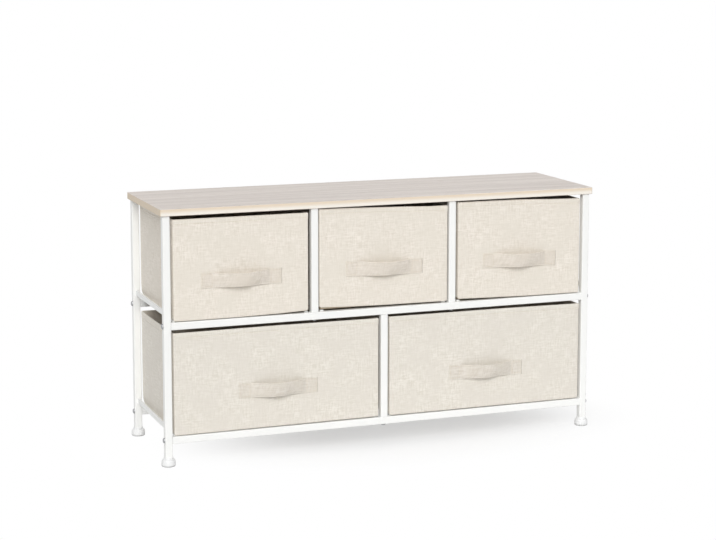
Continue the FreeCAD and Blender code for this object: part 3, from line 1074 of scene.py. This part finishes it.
def stitch_spans(length):
    """Start and end of each stitch along a seam, in millimetres."""
    pitch = STITCH + STITCH_GAP
    count = int(length // pitch)
    margin = (length - count * pitch + STITCH_GAP) / 2
    return [(margin + n * pitch, margin + n * pitch + STITCH) for n in range(count)]


print("stitches along 100 mm:", len(stitch_spans(100)))

# %% [markdown]
# A bin has a hem seam round its band and an upright seam on each side, which closes the pocket of
# the front's board. A pull has a box of stitches on each tab. FACING says which way the cloth of
# each wall looks, and so where its stitches lie. All of a drawer's stitches are one piece.

# %% Seams
FACING = {                 # the way that each wall's cloth faces
    "front": Vector((0, -1, 0)),
    "right": Vector((1, 0, 0)),
    "left": Vector((-1, 0, 0)),
    "rear": Vector((0, 1, 0)),
}
UNSEWN = {"front": 6, "right": 12, "left": 12, "rear": 18}     # left free at the corners
POCKET_SEAM = 7.0          # how far behind the front the upright seams of its pocket are
POCKET_SEAM_UP = 6.0       # where they start, over the floor
POCKET_SEAM_SHORT = 24.0   # how much shorter than the wall they are
TAB_BOX = (3.0, 25.0)      # the ends of a tab's box of stitches, from the end of the pull


def seam_lines(drawer):
    """The stitches of one bin: (start, end, way that the cloth faces)."""
    (left, right, front, rear), _, height = BINS[drawer]
    wide, deep = right - left, rear - front
    size = {"front": wide, "right": deep, "left": deep, "rear": wide}
    lengths = {wall: size[wall] - UNSEWN[wall] for wall in FACING}
    stitches = []
    for wall, length in lengths.items():
        for span in stitch_spans(length):
            ends = [
                skin_point(drawer, (wall, s / length, False), height - GROOVE[0], *GROOVE[1:])
                for s in span
            ]
            stitches.append((*ends, FACING[wall]))
    for wall in ("right", "left"):
        t = POCKET_SEAM / lengths[wall]
        step = (wall, t if wall == "right" else 1 - t, False)
        for span in stitch_spans(height - POCKET_SEAM_SHORT):
            ends = [skin_point(drawer, step, POCKET_SEAM_UP + s, 0.0, 0.0) for s in span]
            stitches.append((*ends, FACING[wall]))
    return stitches


def tab_seams(drawer):
    """The box of stitches on each end of a pull: (start, end, way that the cloth faces)."""
    box = box_mm("drawer_" + drawer + "_pull")
    length = box[1][0] - box[0][0]
    half = (box[1][2] - box[0][2]) / 2
    first, last = TAB_BOX
    spans = []
    for left_end in (True, False):
        for h in (-half + EDGE_SEAM, half - EDGE_SEAM):
            for span in stitch_spans(last - first):
                spans.append((left_end, *((first + a, h) for a in span)))
        for s in TAB_BOX:
            for span in stitch_spans(2 * half - 2 * EDGE_SEAM):
                spans.append((left_end, *((s, a - half + EDGE_SEAM) for a in span)))
    stitches = []
    for left_end, *ends in spans:
        points = []
        for s, h in ends:
            t = s / length
            out = 2.0 * tab_squeeze(t)
            points.append(strap_point(drawer, box, t if left_end else 1 - t, h, out))
        stitches.append((*points, FACING["front"]))
    return stitches


def stitching(drawer):
    points, faces = joined(stitch(*ends) for ends in seam_lines(drawer) + tab_seams(drawer))
    return make_piece(
        "drawer_" + drawer + "_stitching", points, faces, [THREAD_COTTON],
        "drawer_" + drawer, "drawer_fabric",
    )


for drawer in LIFTS:
    print(stitching(drawer).name, "sewn")

# %% [markdown]
# Feet, bolts and screws are turned forms: an outline spun about an axis. The spun helper takes
# rows of radius and height, and can shape a row as a hexagon, for a socket.

# %% Turned forms
ROUND = 48                 # steps round a turned form


def spun(outline, centre, axis):
    """Points and faces of an outline, as rows of radius, height, hexagon or not, spun round."""
    axis = Vector(axis)
    side = axis.orthogonal().normalized()
    other = axis.cross(side)
    loops = []
    for radius, height, hexagon in outline:
        loop = []
        for n in range(ROUND):
            turn = math.tau * n / ROUND
            r = radius
            if hexagon:
                r = radius / math.cos((turn + math.pi / 6) % (math.pi / 3) - math.pi / 6)
            spoke = (side * math.cos(turn) + other * math.sin(turn)) * r
            loop.append(Vector(centre) + spoke + axis * height)
        loops.append(loop)
    return closed_form(loops)


def curve_between(start, end, bend, steps):
    """Radius and height rows on a smooth bend from start to end, pulled towards bend."""
    rows = []
    for n in range(1, steps + 1):
        t = n / steps
        weights = ((1 - t) ** 2, 2 * t * (1 - t), t * t)
        radius, height = (
            sum(weight * value for weight, value in zip(weights, values))
            for values in zip(start, bend, end)
        )
        rows.append((radius, height, False))
    return rows


print("points round a turned form:", ROUND)

# %% [markdown]
# A foot: flat sole with a shallow recess, a rounded heel, an upright side, a full shoulder that
# the moulding leaves round, and a short neck up to the collar where the tube sits.

# %% Feet
# Radius and height of each point of the outline, in millimetres.
RECESS = [(3.0, 2.0), (8.2, 2.0), (8.8, 0.3), (9.4, 0.0)]
SOLE, HEEL, SHOULDER, NECK = (12.6, 0.0), (15.0, 3.0), (14.6, 10.5), (11.4, 15.2)
COLLAR = (10.4, 17.0)
COLLAR_AND_PEG = [(10.3, 18.85), (10.0, 19.0), (6.7, 19.0), (6.6, 35.0), (5.5, 35.0)]
FOOT_BENDS = [             # from, to, pulled towards, in this many steps
    (SOLE, HEEL, (14.9, 0.1), 6),
    (HEEL, SHOULDER, (15.1, 7.0), 5),
    (SHOULDER, NECK, (14.3, 14.7), 6),
    (NECK, COLLAR, (10.5, 15.3), 4),
]


def turned_foot(name):
    low, high = box_mm(name)
    centre = ((low[0] + high[0]) / 2, (low[1] + high[1]) / 2, low[2])
    outline = [(*point, False) for point in RECESS + [SOLE]]
    for bend in FOOT_BENDS:
        outline += curve_between(*bend)
    outline += [(*point, False) for point in COLLAR_AND_PEG]
    points, faces = spun(outline, centre, (0, 0, 1))
    piece = make_piece(name + "_turned", points, faces, [FOOT_PLASTIC], "frame", "foot_plastic")
    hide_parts(name)
    return piece


for name in [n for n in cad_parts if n.startswith("foot_")]:
    print("turned", turned_foot(name).name)

# %% [markdown]
# Bolts hold the rails to the posts from outside, and the dividers to the rails from below. Their
# places follow from the boxes of the tubes that they join: a bolt is on both tubes' middle lines.

# %% Bolts
BOLT = (5.75, 3.3, 3.0, 28.0)      # the head's radius and height, the shank's radius and length
SCREW = (3.8, 2.3, 2.0, 12.0)


def middle(piece, axis):
    """The middle of a piece's box along one axis."""
    low, high = box_mm(piece)
    return (low[axis] + high[axis]) / 2


def button_outline(head, height, shank, length):
    """A domed head with a hexagon socket, then its shank; heights run from under the head."""
    socket = head * 0.35
    crown = (head * 0.55, -height)
    rows = [(socket * 0.98, -height * 0.45, True), (socket, -height * 0.97, True), (*crown, False)]
    rows += curve_between(crown, (head, -height * 0.18), (head * 0.92, -height * 0.92), 6)
    rows += [(head, -0.05, False), (head - 0.15, 0.0, False), (shank, 0.0, False)]
    return rows + [(shank, length - 0.8, False), (shank - 0.7, length, False)]


def fixing_group(name, places, sizes):
    """One piece of many equal bolts or screws."""
    points, faces = joined(spun(button_outline(*sizes), centre, way) for centre, way in places)
    piece = make_piece(name + "_turned", points, faces, [ZINC], "frame", "zinc_fixings")
    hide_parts(name)


bolt_places = []
for end in ("front", "rear"):
    for level in ("low", "mid"):
        height = middle("rail_" + level + "_" + end, 2)
        for side, way in (("left", 1), ("right", -1)):
            post = "post_" + end + "_" + side
            face = box_mm(post)[0 if way > 0 else 1][0]
            bolt_places.append(((face, middle(post, 1), height), (way, 0, 0)))
    for divider, level in (("top_left", "mid"), ("top_right", "mid"), ("low", "low")):
        post = "divider_" + divider + "_" + end
        under = box_mm("rail_" + level + "_" + end)[0][2]
        bolt_places.append(((middle(post, 0), middle(post, 1), under), (0, 0, 1)))
fixing_group("frame_bolts", bolt_places, BOLT)
print("bolts:", len(bolt_places))

# %% [markdown]
# Two screws go up through each top bar into the board, one in front of the bar's middle and one
# behind it.

# %% Board screws
SCREW_SPREAD = 90.0        # millimetres from a bar's middle to each of its screws
screw_places = []
for bar in ("top_bar_left", "top_bar_right", "divider_top_bar_left", "divider_top_bar_right"):
    for spread in (-SCREW_SPREAD, SCREW_SPREAD):
        place = (middle(bar, 0), middle(bar, 1) + spread, box_mm(bar)[0][2])
        screw_places.append((place, (0, 0, 1)))
fixing_group("board_screws", screw_places, SCREW)
print("screws:", len(screw_places))

# %% [markdown]
# The dresser stands on a plain white studio sweep. For the camera the floor is mostly its own
# white, so the background is even. Within an oval under the dresser, a share of it is a diffuse
# white that takes the soft shadow. Glossy and transmission rays see the same as the camera.

# %% Floor
OVAL_HALF = (0.52, 0.28)           # metres, the half axes of the oval
OVAL_SHIFT = (-0.17, 0.04, 0)      # moves it right and forward, by these shares of them
SHADE = 0.46                       # the share of diffuse floor in the oval's middle
SHADE_FADES = (0.35, 1.15)         # where that share starts to fade and where it ends, in half axes
FLOOR_HALF = 14                    # metres


def studio_white():
    """White for the camera, with a share of diffuse floor near the dresser."""
    material, tree = blank_material("studio_white")
    place = add(tree, "ShaderNodeTexCoord").outputs["Object"]
    path = add(tree, "ShaderNodeLightPath").outputs
    seen = path["Is Camera Ray"]
    for ray in ("Is Glossy Ray", "Is Transmission Ray"):
        seen = add(tree, "ShaderNodeMath", {0: seen, 1: path[ray]}, operation="MAXIMUM")
    oval = add(
        tree, "ShaderNodeMapping",
        {"Vector": place, "Location": OVAL_SHIFT, "Scale": (*(1 / half for half in OVAL_HALF), 1)},
    )
    away = add(tree, "ShaderNodeVectorMath", {0: oval}, operation="LENGTH")
    near = add(
        tree, "ShaderNodeMapRange",
        {
            "Value": away.outputs["Value"],
            "From Min": SHADE_FADES[0],
            "From Max": SHADE_FADES[1],
            "To Min": SHADE,
            "To Max": 0.0,
        },
        interpolation_type="SMOOTHSTEP",
    )
    plain = add(tree, "ShaderNodeMath", {0: 1.0, 1: near}, operation="SUBTRACT")
    share = add(tree, "ShaderNodeMath", {0: seen, 1: plain}, operation="MULTIPLY")
    white = add(tree, "ShaderNodeEmission", {"Color": (1, 1, 1, 1), "Strength": 1.0})
    grain = add(tree, "ShaderNodeTexNoise", {"Vector": place, "Scale": 3.0})
    paper = add(
        tree, "ShaderNodeMix",
        {"Factor": grain, 6: colour("F6F6F6"), 7: colour("F8F8F8")},
        data_type="RGBA",
    )
    diffuse = add(tree, "ShaderNodeBsdfDiffuse", {"Color": paper})
    mix = add(tree, "ShaderNodeMixShader", {0: share, 1: diffuse, 2: white})
    add(tree, "ShaderNodeOutputMaterial", {"Surface": mix})
    return material


corners = [(x * FLOOR_HALF, y * FLOOR_HALF, 0) for x, y in ((-1, -1), (1, -1), (1, 1), (-1, 1))]
floor_mesh = bpy.data.meshes.new("studio_floor")
floor_mesh.from_pydata(corners, [], [(0, 1, 2, 3)])
floor_mesh.materials.append(studio_white())
floor = bpy.data.objects.new("studio_floor", floor_mesh)
bpy.context.collection.objects.link(floor)
print("floor ready")

# %% [markdown]
# The sky is an even white. The camera and glossy rays see it at full strength, and it lights the
# dresser with much less, so that the lamps can shape it.

# %% Sky
SKY_LIGHT = 0.28           # the strength that lights the dresser

world = bpy.data.worlds.new("studio")
bpy.context.scene.world = world
world.use_nodes = True
sky = world.node_tree
sky.nodes.clear()
rays = add(sky, "ShaderNodeLightPath").outputs
seen = add(
    sky, "ShaderNodeMath",
    {0: rays["Is Camera Ray"], 1: rays["Is Glossy Ray"]},
    operation="MAXIMUM",
)
strength = add(sky, "ShaderNodeMapRange", {"Value": seen, "To Min": SKY_LIGHT, "To Max": 1.0})
glow = add(sky, "ShaderNodeBackground", {"Color": (1, 1, 1, 1), "Strength": strength})
add(sky, "ShaderNodeOutputWorld", {"Surface": glow})
print("sky ready")

# %% [markdown]
# One large soft lamp stands to the front left, so the fronts are brighter than the left side and
# the right flank of each pull falls into shade. A weaker one from above lights the board. Colours
# are shown as they are written, without a film look.

# %% Lamps


def soft_lamp(name, azimuth, elevation, strength, spread):
    """A distant lamp; angles are in degrees. azimuth turns from straight in front to the right."""
    lamp = bpy.data.lights.new(name, "SUN")
    lamp.energy = strength
    lamp.angle = math.radians(spread)
    holder = bpy.data.objects.new(name, lamp)
    a, e = math.radians(azimuth), math.radians(elevation)
    toward = Vector((math.sin(a) * math.cos(e), -math.cos(a) * math.cos(e), math.sin(e)))
    holder.rotation_euler = toward.to_track_quat("Z", "Y").to_euler()
    bpy.context.collection.objects.link(holder)
    print("lit", name)


soft_lamp("key_lamp", azimuth=-24, elevation=32, strength=1.9, spread=35)
soft_lamp("top_lamp", azimuth=20, elevation=75, strength=0.55, spread=60)

bpy.context.scene.view_settings.view_transform = "Standard"
